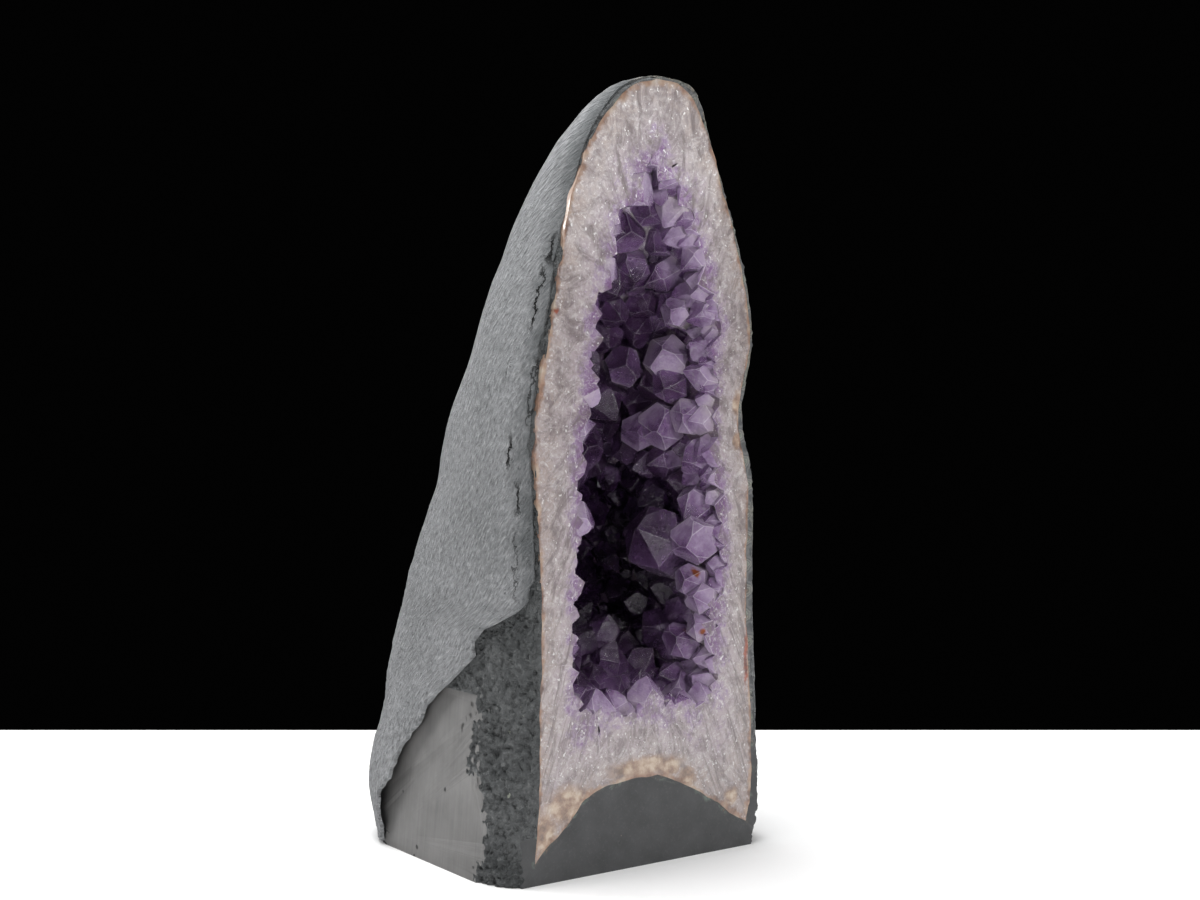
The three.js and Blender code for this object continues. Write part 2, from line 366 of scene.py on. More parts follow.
def wave(x, y, z, size):
    """Smooth noise from -1 to 1 whose features are about this many millimetres across."""
    return noise.noise(Vector((x, y, z)) / size)


# ---- Materials ----


class Shader:
    """A material's node tree, written as calls that nest."""

    def __init__(self, name):
        self.material = bpy.data.materials.new(name)
        self.material.use_nodes = True
        self.tree = self.material.node_tree
        self.tree.nodes.clear()
        self.output = self.tree.nodes.new("ShaderNodeOutputMaterial")
        self.place = self.node("ShaderNodeTexCoord").outputs["Object"]

    def feed(self, value, socket):
        """Links a socket's value, or sets a plain one."""
        if isinstance(value, bpy.types.NodeSocket):
            self.tree.links.new(value, socket)
        else:
            socket.default_value = value

    def node(self, kind, inputs=None, **settings):
        """A node with its settings and inputs."""
        made = self.tree.nodes.new(kind)
        for key, value in settings.items():
            setattr(made, key, value)
        for key, value in (inputs or {}).items():
            self.feed(value, made.inputs[key])
        return made

    def stretched(self, vector, scale):
        """A vector scaled along each of its axes."""
        return self.node("ShaderNodeMapping", {"Vector": vector, "Scale": scale}).outputs["Vector"]

    def noise(self, vector, scale, detail=4, roughness=0.55, distortion=0):
        """Noise from 0 to 1, scale features to the metre."""
        inputs = {"Vector": vector, "Scale": scale, "Detail": detail, "Roughness": roughness,
                  "Distortion": distortion}
        return self.node("ShaderNodeTexNoise", inputs).outputs["Fac"]

    def cells(self, vector, scale, output="Distance"):
        """Cells, scale of them to the metre."""
        return self.node("ShaderNodeTexVoronoi", {"Vector": vector, "Scale": scale}).outputs[output]

    def band(self, value, low, high, first=0.0, last=1.0):
        """The value stretched from one range to another and held at its ends."""
        inputs = {"Value": value, "From Min": low, "From Max": high, "To Min": first, "To Max": last}
        return self.node("ShaderNodeMapRange", inputs).outputs["Result"]

    def math(self, operation, a, b=0.0):
        """One sum."""
        return self.node("ShaderNodeMath", {0: a, 1: b}, operation=operation).outputs[0]

    def blend(self, share, a, b, blend_type="MIX"):
        """One colour over another."""
        inputs = {0: share, 6: a, 7: b}
        return self.node("ShaderNodeMix", inputs, data_type="RGBA", blend_type=blend_type).outputs[2]

    def ramp(self, value, stops):
        """A run of colours."""
        made = self.node("ShaderNodeValToRGB", {"Fac": value})
        elements = made.color_ramp.elements
        while len(elements) < len(stops):
            elements.new(0.5)
        for element, (position, colour) in zip(elements, stops):
            element.position = position
            element.color = (*colour[:3], 1)
        return made.outputs["Color"]

    def attribute(self, name):
        """A number stored on the mesh."""
        return self.node("ShaderNodeAttribute", attribute_name=name).outputs["Fac"]

    def across(self, vector, axis):
        """One of a vector's three numbers."""
        return self.node("ShaderNodeSeparateXYZ", {"Vector": vector}).outputs[axis]

    def spot(self, place, x, z, width, tall):
        """1 within an upright oval on the sawn face, sizes in millimetres, fading out at its edge."""
        size = (2 / (width * MM), 0, 2 / (tall * MM))
        middle = (MIDDLE_X + x * MM) * size[0], 0, z * MM * size[2]
        away = self.node("ShaderNodeVectorMath", {0: self.stretched(place, size), 1: middle}, operation="DISTANCE")
        return self.band(away.outputs["Value"], 1.0, 0.5)

    def any_of(self, masks):
        """The largest of several masks."""
        total = masks[0]
        for mask in masks[1:]:
            total = self.math("MAXIMUM", total, mask)
        return total

    def shaken(self, place, scale, amount):
        """Places shifted about by noise, so that what is drawn there comes out ragged."""
        inputs = {"Vector": place, "Scale": scale, "Detail": 3}
        noise_colour = self.node("ShaderNodeTexNoise", inputs).outputs["Color"]
        shift = self.node("ShaderNodeVectorMath", {0: noise_colour, 1: (0.5, 0.5, 0.5)}, operation="SUBTRACT")
        inputs = {0: shift.outputs[0], 1: (amount, amount, amount), 2: place}
        return self.node("ShaderNodeVectorMath", inputs, operation="MULTIPLY_ADD").outputs[0]

    def bump(self, height, distance, strength=1.0):
        """A bump this deep."""
        inputs = {"Height": height, "Distance": distance, "Strength": strength}
        return self.node("ShaderNodeBump", inputs).outputs["Normal"]

    def surface(self, inputs, inside=None):
        """Ends the tree in a principled surface, and in a volume if one is given."""
        shader = self.node("ShaderNodeBsdfPrincipled", inputs)
        self.tree.links.new(shader.outputs["BSDF"], self.output.inputs["Surface"])
        if inside:
            volume = self.node(*inside)
            self.tree.links.new(volume.outputs["Volume"], self.output.inputs["Volume"])
        return self.material


def grey(value, tint=(1, 1, 1)):
    """A grey, or a tinted one, as a colour with alpha."""
    return (value * tint[0], value * tint[1], value * tint[2], 1)


CRACKS = [
    # behind the saw cut, lowest, highest, width, how dark
    (8.5, 272, 306, 1.1, 1.0),
    (5, 303, 322, 1.6, 1.0),
    (13.5, 204, 224, 1.2, 1.0),
    (8.5, 182, 201, 1.3, 1.0),
    (10.5, 140, 178, 0.6, 0.6),
    (4, 225, 262, 0.7, 0.7),
    (19, 246, 262, 0.7, 0.5),
]


def cement_material():
    """Dry cement, brushed on in upright strokes, coarser and pitted low down, cracked beside the sawn face."""
    s = Shader("brushed_cement")
    wrap = s.node("ShaderNodeUVMap", uv_map="wrap").outputs["UV"]
    strokes = s.noise(s.stretched(wrap, (760, 260, 1)), 1, 3, 0.6)
    broad = s.noise(s.stretched(wrap, (210, 62, 1)), 1, 4, 0.6)
    grit = s.noise(s.place, 900, 3, 0.65)
    pits = s.band(s.cells(s.place, 420), 0.06, 0.3)
    height = s.across(s.place, "Z")
    low = s.band(height, 0.27, 0.1)
    behind = s.attribute("behind")
    side = s.band(s.across(s.place, "X"), 0.01, -0.01)
    base = s.blend(s.band(s.noise(s.place, 26, 4, 0.6), 0.3, 0.7), grey(0.21, (0.97, 1, 1.03)), props().cement)
    base = s.blend(s.band(strokes, 0.5, 0.74, 0.0, 0.7), base, grey(0.48, (0.99, 1, 1.02)))
    base = s.blend(s.band(strokes, 0.46, 0.26, 0.0, 0.65), base, grey(0.07))
    base = s.blend(s.band(broad, 0.42, 0.28, 0.0, 0.45), base, grey(0.12))
    # Painted shade: the cement on the left side is darkened to a dark grey within about 13 mm of the saw cut.
    shade_near_cut = s.math("ADD", behind, s.band(s.noise(s.place, 60, 4, 0.6), 0.2, 0.8, -6, 6))
    shade_near_cut = s.math("MULTIPLY", s.band(shade_near_cut, 13, 2), side)
    base = s.blend(s.math("MULTIPLY", shade_near_cut, 0.72), base, grey(0.085, (0.92, 1, 1.04)))
    wander = s.math("ADD", behind, s.band(s.noise(s.place, 95, 4, 0.7), 0.2, 0.8, -4.5, 4.5))
    masks = []
    for centre, lowest, highest, width, dark in CRACKS:
        away = s.math("ABSOLUTE", s.math("SUBTRACT", wander, centre))
        line = s.band(away, width * 0.8, width * 0.25, 0.0, dark)
        start = s.band(height, lowest * MM, (lowest + 6) * MM)
        end = s.band(height, highest * MM, (highest - 6) * MM)
        ends = s.math("MULTIPLY", start, end)
        masks.append(s.math("MULTIPLY", line, ends))
    layers = s.ramp(s.noise(s.stretched(s.shaken(s.place, 40, 4 * MM), (420, 420, 26)), 1, 3, 0.6), [
        (0.3, (0.1, 0.11, 0.105)), (0.42, (0.36, 0.35, 0.31)), (0.5, (0.14, 0.145, 0.14)), (0.56, (0.42, 0.38, 0.32)),
        (0.62, (0.2, 0.19, 0.17)), (0.7, (0.28, 0.29, 0.27))])
    rind = s.math("MULTIPLY", s.band(behind, 5.0, 3.0), s.band(s.across(s.place, "X"), -0.012, 0.002))
    base = s.blend(s.math("MULTIPLY", rind, 0.85), base, layers)
    crack = s.math("MULTIPLY", s.any_of(masks), side)
    base = s.blend(crack, base, grey(0.006))
    relief = s.math("ADD", s.math("MULTIPLY", strokes, 0.9), s.math("MULTIPLY", grit, 0.35))
    relief = s.math("ADD", relief, s.math("MULTIPLY", broad, 0.8))
    relief = s.math("ADD", relief, s.math("MULTIPLY", s.math("MULTIPLY", pits, low), 0.5))
    relief = s.math("SUBTRACT", relief, s.math("MULTIPLY", crack, 1.5))
    normal = s.bump(relief, 2.6 * MM, 1.0)
    return s.surface({"Base Color": base, "Roughness": 0.95, "Specular IOR Level": 0.25, "Normal": normal})


def broken_material():
    """Broken basalt, dark and pitted, with pale mineral specks."""
    s = Shader("broken_basalt")
    grain = s.noise(s.shaken(s.place, 150, 3 * MM), 330, 5, 0.68)
    pits = s.band(s.cells(s.shaken(s.place, 300, 2 * MM), 300), 0.1, 0.42)
    broad = s.noise(s.place, 45, 4, 0.6)
    base = s.blend(s.band(broad, 0.32, 0.68), grey(0.085, (0.94, 1, 1.03)), grey(0.15, (0.96, 1, 1.02)))
    base = s.blend(s.band(grain, 0.52, 0.7, 0.0, 0.55), base, grey(0.3, (0.96, 1, 1)))
    base = s.blend(s.band(grain, 0.45, 0.32, 0.0, 0.6), base, grey(0.03))
    base = s.blend(s.band(pits, 0.3, 0.0, 0.0, 0.45), base, grey(0.02))
    specks = s.band(s.noise(s.place, 230, 2, 0.5), 0.73, 0.76)
    base = s.blend(specks, base, grey(0.4, (0.95, 1, 0.85)))
    height = s.math("ADD", s.math("MULTIPLY", grain, 0.9), s.math("MULTIPLY", pits, 0.55))
    normal = s.bump(height, 7 * MM, 1.0)
    return s.surface({"Base Color": base, "Roughness": 0.9, "Specular IOR Level": 0.4, "Normal": normal})


def sawn_material():
    """Basalt sawn and honed: even dark grey, layered where a rind is left beside the quartz."""
    s = Shader("sawn_basalt")
    mottle = s.noise(s.place, 60, 5, 0.6)
    fine = s.noise(s.place, 900, 3, 0.6)
    base = s.blend(s.band(mottle, 0.3, 0.7), grey(0.045, (0.98, 1, 1.04)), props().basalt)
    base = s.blend(s.band(fine, 0.55, 0.8, 0.0, 0.3), base, grey(0.15))
    away = s.attribute("to_quartz")
    ragged = s.math("ADD", away, s.band(s.noise(s.place, 130, 4, 0.65), 0.2, 0.8, -1.6, 1.6))
    layers = s.ramp(s.band(ragged, 0.0, 6.0), [
        (0.0, (0.42, 0.35, 0.28)), (0.09, (0.2, 0.1, 0.06)), (0.17, (0.14, 0.15, 0.14)), (0.27, (0.36, 0.34, 0.3)),
        (0.36, (0.1, 0.11, 0.11)), (0.5, (0.24, 0.23, 0.21)), (0.62, (0.08, 0.085, 0.09)), (0.8, (0.16, 0.16, 0.16)),
        (1.0, (0.07, 0.072, 0.076))])
    beside = s.band(s.across(s.place, "Z"), 0.045, 0.075)
    right = s.band(s.across(s.place, "X"), -0.045, -0.01)
    base = s.blend(s.math("MULTIPLY", s.math("MULTIPLY", beside, right), 0.85), base, layers)
    fringe = s.ramp(s.noise(s.place, 210, 3, 0.6), [
        (0.35, (0.06, 0.065, 0.06)), (0.48, (0.16, 0.2, 0.17)), (0.56, (0.07, 0.075, 0.075)),
        (0.7, (0.22, 0.16, 0.11))])
    base = s.blend(s.band(ragged, 2.6, 0.6, 0.0, 0.8), base, fringe)
    holes = s.band(s.cells(s.place, 95), 0.03, 0.05)
    base = s.blend(holes, grey(0.02), base)
    pale = s.band(s.noise(s.place, 260, 2, 0.5), 0.76, 0.79, 0.0, 0.5)
    base = s.blend(pale, base, (0.3, 0.24, 0.2, 1))
    normal = s.bump(s.math("ADD", s.math("MULTIPLY", fine, 0.25), holes), 0.25 * MM, 0.5)
    return s.surface({"Base Color": base, "Roughness": 0.5, "Specular IOR Level": 0.4, "Normal": normal})


def facet_material():
    """The small flat: the marks of the saw across it, scuffs and black pinholes."""
    s = Shader("saw_marked_basalt")
    tilted = s.node("ShaderNodeMapping", {"Vector": s.place, "Rotation": (math.radians(-14), 0, 0),
                                          "Scale": (30, 620, 26)}).outputs["Vector"]
    marks = s.noise(tilted, 1, 3, 0.6)
    cloud = s.noise(s.place, 50, 4, 0.6)
    base = s.blend(s.band(cloud, 0.3, 0.7), grey(0.115, (1.02, 1, 0.99)), grey(0.17, (1.02, 1, 0.99)))
    base = s.blend(s.band(marks, 0.35, 0.7, 0.0, 0.4), base, grey(0.2, (1.02, 1, 0.98)))
    holes = s.band(s.cells(s.shaken(s.place, 200, 3 * MM), 70), 0.07, 0.11)
    base = s.blend(holes, grey(0.012), base)
    normal = s.bump(s.math("ADD", s.math("MULTIPLY", marks, 0.3), holes), 0.3 * MM, 0.5)
    return s.surface({"Base Color": base, "Roughness": 0.6, "Specular IOR Level": 0.4, "Normal": normal})


RED_SPOTS = [(-67.5, 191, 4, 17), (-65, 167, 3, 12), (-63, 142, 5, 9), (-65, 95, 3, 16), (-65, 55, 5, 22),
             (-53, 283, 4, 4), (41, 145, 6, 6), (40, 116, 5, 8), (69, 100, 3, 40)]
TAN_SPOTS = [(-12, 390, 9, 12), (54, 353, 11, 52), (62, 233, 7, 17), (62, 214, 6, 12), (19, 49, 16, 14),
             (30, 42, 15, 13), (60, 28, 12, 12), (2, 51, 60, 13), (-46, 38, 36, 24), (-60, 26, 16, 30)]


def quartz_material():
    """The cut and polished lining: rust at the rock, milky columns, then violet at the rim of the hollow."""
    s = Shader("milky_quartz")
    column = s.node("ShaderNodeUVMap", uv_map="column").outputs["UV"]
    growth = s.attribute("growth")
    wander = s.noise(s.place, 60, 4, 0.65)
    fine = s.noise(s.place, 300, 4, 0.7)
    bent = s.math("ADD", growth, s.band(wander, 0.25, 0.75, -0.34, 0.34))
    bent = s.math("ADD", bent, s.band(fine, 0.25, 0.75, -0.24, 0.24))
    milk, violet = props().milk, props().violet
    body = s.ramp(s.band(bent, 0.0, 1.4), [
        (0.0, (milk[0] * 0.92, milk[1] * 0.86, milk[2] * 0.8)), (0.3, milk),
        (0.56, (milk[0] * 0.97, milk[1] * 0.93, milk[2] * 1.0)), (0.68, (0.43, 0.33, 0.48)),
        (0.8, (0.29, 0.16, 0.35)), (1.0, violet)])
    strands = s.noise(s.shaken(s.place, 90, 9 * MM), 330, 5, 0.75, 1.2)
    body = s.blend(s.band(strands, 0.5, 0.7, 0.0, 0.85), body, grey(0.9, (1, 0.98, 0.99)))
    smoky = s.noise(s.stretched(column, (120, 60, 1)), 1, 6, 0.75, 1.0)
    body = s.blend(s.band(smoky, 0.53, 0.36, 0.0, 0.85), body, (0.2, 0.165, 0.165, 1))
    cloudy = s.noise(s.place, 140, 5, 0.7, 0.6)
    body = s.blend(s.band(cloudy, 0.5, 0.32, 0.0, 0.7), body, (0.22, 0.18, 0.185, 1))
    grains = s.cells(s.stretched(s.shaken(s.place, 500, 1.5 * MM), (700, 700, 420)), 1, "Color")
    body = s.blend(s.band(grains, 0.35, 0.1, 0.0, 0.3), body, (0.25, 0.21, 0.24, 1))
    # Painted glints: small near-white flecks in the polished band's colour.
    painted_glints = s.noise(s.stretched(s.place, (620, 620, 460)), 1, 2, 0.6)
    body = s.blend(s.band(painted_glints, 0.66, 0.7, 0.0, 0.85), body, grey(0.98))
    # Painted shade: the band's colour is darkened below about 350 mm height, fully below 280 mm, so the crown stays
    # lighter.
    shade_below_crown = s.band(s.across(s.place, "Z"), 0.35, 0.28)
    body = s.blend(shade_below_crown, body, grey(0.69, (1, 0.97, 0.97)), "MULTIPLY")
    # Painted shade: the lining darkens to a near-black violet deeper in the hollow.
    body = s.blend(s.band(growth, 1.5, 2.2), body, (0.09, 0.05, 0.11, 1))
    ragged = s.shaken(s.place, 220, 5 * MM)
    tan = s.any_of([s.spot(ragged, *spot) for spot in TAN_SPOTS])
    tan_tone = s.ramp(s.noise(s.place, 150, 4, 0.6), [
        (0.32, (0.13, 0.085, 0.065)), (0.48, (0.3, 0.19, 0.13)), (0.6, (0.5, 0.38, 0.28)), (0.75, (0.6, 0.52, 0.42))])
    body = s.blend(s.math("MULTIPLY", tan, 0.85), body, tan_tone)
    edge = s.band(s.math("ADD", growth, s.band(s.noise(s.place, 140, 4, 0.65), 0.3, 0.7, -0.07, 0.07)), 0.085, 0.02)
    red = s.any_of([s.spot(ragged, *spot) for spot in RED_SPOTS])
    edge_tone = s.ramp(s.noise(s.place, 85, 3, 0.6), [
        (0.35, (0.1, 0.05, 0.035)), (0.48, (0.3, 0.17, 0.11)), (0.58, (0.42, 0.3, 0.22)), (0.7, (0.5, 0.42, 0.34))])
    body = s.blend(s.math("MULTIPLY", edge, 0.85), body, edge_tone)
    red_tone = s.ramp(s.noise(s.place, 260, 3, 0.6), [(0.35, (0.07, 0.015, 0.01)), (0.65, (0.33, 0.07, 0.03))])
    body = s.blend(s.math("MULTIPLY", red, 0.9), body, red_tone)
    normal = s.bump(grains, 0.25 * MM, 0.25)
    inputs = {
        "Base Color": body, "Roughness": 0.4, "IOR": 1.544, "Normal": normal,
        "Coat Weight": 0.6, "Coat Roughness": 0.08, "Coat IOR": 1.544,
    }
    return s.surface(inputs)


def amethyst_material():
    """Quartz points: clear violet at the tips, paler and cloudy towards the root."""
    s = Shader("amethyst")
    behind = s.attribute("behind_tip")
    tone = s.attribute("tone")
    cloud = s.noise(s.place, 110, 4, 0.65)
    zone = s.math("ADD", behind, s.band(cloud, 0.2, 0.8, -5.0, 5.0))
    zone = s.math("ADD", zone, s.band(tone, 0, 1, -6.0, 11.0))
    violet, milk = props().violet, props().milk
    colour = s.ramp(s.band(zone, 0.0, 26.0), [
        (0.0, violet), (0.25, (0.36, 0.19, 0.45)), (0.5, (0.56, 0.41, 0.64)), (0.95, milk)])
    veils = s.noise(s.place, 300, 4, 0.7, 0.8)
    colour = s.blend(s.band(veils, 0.54, 0.74, 0.0, 0.5), colour, grey(0.85, (1, 0.96, 1)))
    # Painted shade: points that grow deep in the hollow are darkened.
    colour = s.blend(s.attribute("depth_in_shade"), colour, grey(0.2, (1, 0.75, 1.15)), "MULTIPLY")
    stained = s.shaken(s.place, 220, 5 * MM)
    stain = s.any_of([s.spot(stained, 42, 146, 5, 5), s.spot(stained, 41, 116, 4, 6)])
    stain = s.math("MULTIPLY", stain, s.band(s.across(s.place, "Y"), FRONT_Y + 0.018, FRONT_Y + 0.012))
    colour = s.blend(stain, colour, (0.4, 0.1, 0.03, 1))
    # Painted highlight: the bevelled edges of the points are lightened, less so deep in the hollow, and let less
    # light through.
    edge_highlight = s.math("MULTIPLY", s.attribute("edge_highlight"), s.band(s.attribute("depth_in_shade"), 0.8, 0.0, 0.05, 0.35))
    colour = s.blend(edge_highlight, colour, grey(0.85, (1, 0.96, 1)))
    clear = s.math("SUBTRACT", s.band(zone, 2.0, 20.0, 0.72, 0.3), s.math("MULTIPLY", edge_highlight, 0.3))
    etched = s.noise(s.place, 260, 4, 0.7)
    normal = s.bump(etched, 2.5 * MM, 0.5)
    rough = s.math("ADD", s.band(etched, 0.35, 0.65, 0.05, 0.25), s.math("MULTIPLY", s.attribute("depth_in_shade"), 0.1))
    return s.surface({
        "Base Color": colour, "Roughness": rough, "IOR": 1.544, "Transmission Weight": clear, "Normal": normal,
        "Specular IOR Level": 0.4,
    }, ("ShaderNodeVolumeAbsorption", {"Color": (0.66, 0.42, 0.74, 1), "Density": 40.0}))


def shared(name, make):
    """A material made once and used by several pieces."""
    return bpy.data.materials.get(name) or make()


# ---- The pieces ----


class GEODE_OT_cement(bpy.types.Operator):
    """Brush the cement over the back, sides and crown, ragged low on the left"""

    bl_idname = "geode.cement"
    bl_label = "Cement coat"

    columns = 250
    rows = 172

    def row(self, share):
        """Evenly spaced places along one row of the coat, from right to left, with their way along it."""
        height = spline(NODULE, share)[0]
        stray = 3.4 * wave(height, 3, 0, 9) + 2.4 * wave(height, 5, 0, 3.4) + 1.4 * wave(height, 9, 0, 1.7)
        edges = []
        for edge, left in ((RIGHT_EDGE, False), (LEFT_EDGE, True)):
            behind = lookup([(z, y) for y, z in reversed(edge)], height)
            edges.append(around_at(share, max(0.8, behind + stray * smooth_step(1, 8, behind)), left))
        steps = 90
        places = [wall_point(share, mix(*edges, i / steps)) for i in range(steps + 1)]
        lengths = [0]
        for a, b in zip(places, places[1:]):
            lengths.append(lengths[-1] + (b - a).length)
        result = []
        index = 0
        for column in range(self.columns + 1):
            target = lengths[-1] * column / self.columns
            while index < steps - 1 and lengths[index + 1] < target:
                index += 1
            part = (target - lengths[index]) / max(lengths[index + 1] - lengths[index], 1e-9)
            place = wall_point(share, mix(*edges, (index + min(part, 1)) / steps))
            result.append((place, target - lengths[-1] / 2))
        return result

    def execute(self, context):
        settings = props()
        bm = bmesh.new()
        wrap = bm.loops.layers.uv.new("wrap")
        behind = bm.verts.layers.float.new("behind")
        bmesh.ops.create_grid(bm, x_segments=self.columns, y_segments=self.rows, size=0.5)
        foot = share_at(2.2)
        grid = [self.row(mix(foot, 1, i / self.rows)) for i in range(self.rows + 1)]
        ways = {}
        for vert in bm.verts:
            column, row = round((vert.co.x + 0.5) * self.columns), round((vert.co.y + 0.5) * self.rows)
            place, way = grid[row][column]
            ways[vert] = (way, place.z)
            vert[behind] = place.y
            vert.co = at(*place)
        for face in bm.faces:
            for loop in face.loops:
                way, height = ways[loop.vert]
                loop[wrap].uv = (way * MM, height * MM)
        bmesh.ops.recalc_face_normals(bm, faces=bm.faces)
        if bm.faces[0].normal.dot(bm.faces[0].calc_center_median() - at(0, 60, 0)) < 0:
            bmesh.ops.reverse_faces(bm, faces=bm.faces)
        bm.normal_update()
        raised = {}
        for vert, (way, height) in ways.items():
            low = smooth_step(220, 90, height)
            strokes = 0.6 * wave(way * 7, height, 5, 11) + 0.5 * wave(way * 3.6, height * 0.6, 8, 12)
            grains = wave(way, height, 2, 1.7) + 0.7 * wave(way, height, 6, 4)
            lumps = 0.9 * wave(way, height, 4, 34) + 0.45 * wave(way, height, 9, 14)
            broken = smooth_step(152, 138, height) if way > 0 else 0
            full = max(smooth_step(0, 16, vert[behind]), broken)
            uneven = settings.ridges * (strokes + low * 0.8 * grains) + lumps * MM * full
            raised[vert] = vert.normal * (mix(0.7 * MM, settings.coat - 0.4 * MM, full) + uneven + 0.5 * MM * broken)
        for vert, step in raised.items():
            vert.co += step
        bmesh.ops.solidify(bm, geom=bm.faces[:], thickness=2.0 * MM)
        bmesh.ops.remove_doubles(bm, verts=bm.verts, dist=0.02 * MM)
        for face in bm.faces:
            face.smooth = True
        mesh = mesh_of(bm, "cement_coat")
        mesh.set_sharp_from_angle(angle=math.radians(55))
        finish_piece("brushed_cement_coat", mesh, [cement_material()], "cement_coat")
        return {"FINISHED"}


def hollow_depth(height, extra=0.0):
    """How far behind the saw cut the hollow's deepest line lies at this height."""
    depth = lookup(HOLLOW_DEPTH, height)
    return depth + extra * smooth_step(400, 330, height)


def behind_face(outline_point, turn, extra=0.0, widen=0.0):
    """A place behind the sawn face. turn runs from 0 on the outline to 1 at the back of the hollow."""
    angle = turn * math.pi / 2
    inward = max(math.cos(angle), 0) ** (2 / WALL_SQUARENESS)
    back = math.sin(angle) ** (2 / WALL_SQUARENESS)
    x, z = outline_point
    swell = 1 + widen * math.sin(2 * angle)
    place = HOLLOW_HEART + Vector((x - HOLLOW_HEART.x, 0, z - HOLLOW_HEART.z)) * inward * swell
    return Vector((place.x, hollow_depth(place.z, extra) * back, place.z))


COUNTS = (170, 60, 170)  # steps down the left side, along the foot and up the right side
WIDEN = 0.06
RIM_LENGTH = 620  # round the rim of the hollow
BAND_WIDTH = 26  # of the quartz between the rock and the hollow
COLUMN_STEP = RIM_LENGTH * MM / sum(COUNTS)


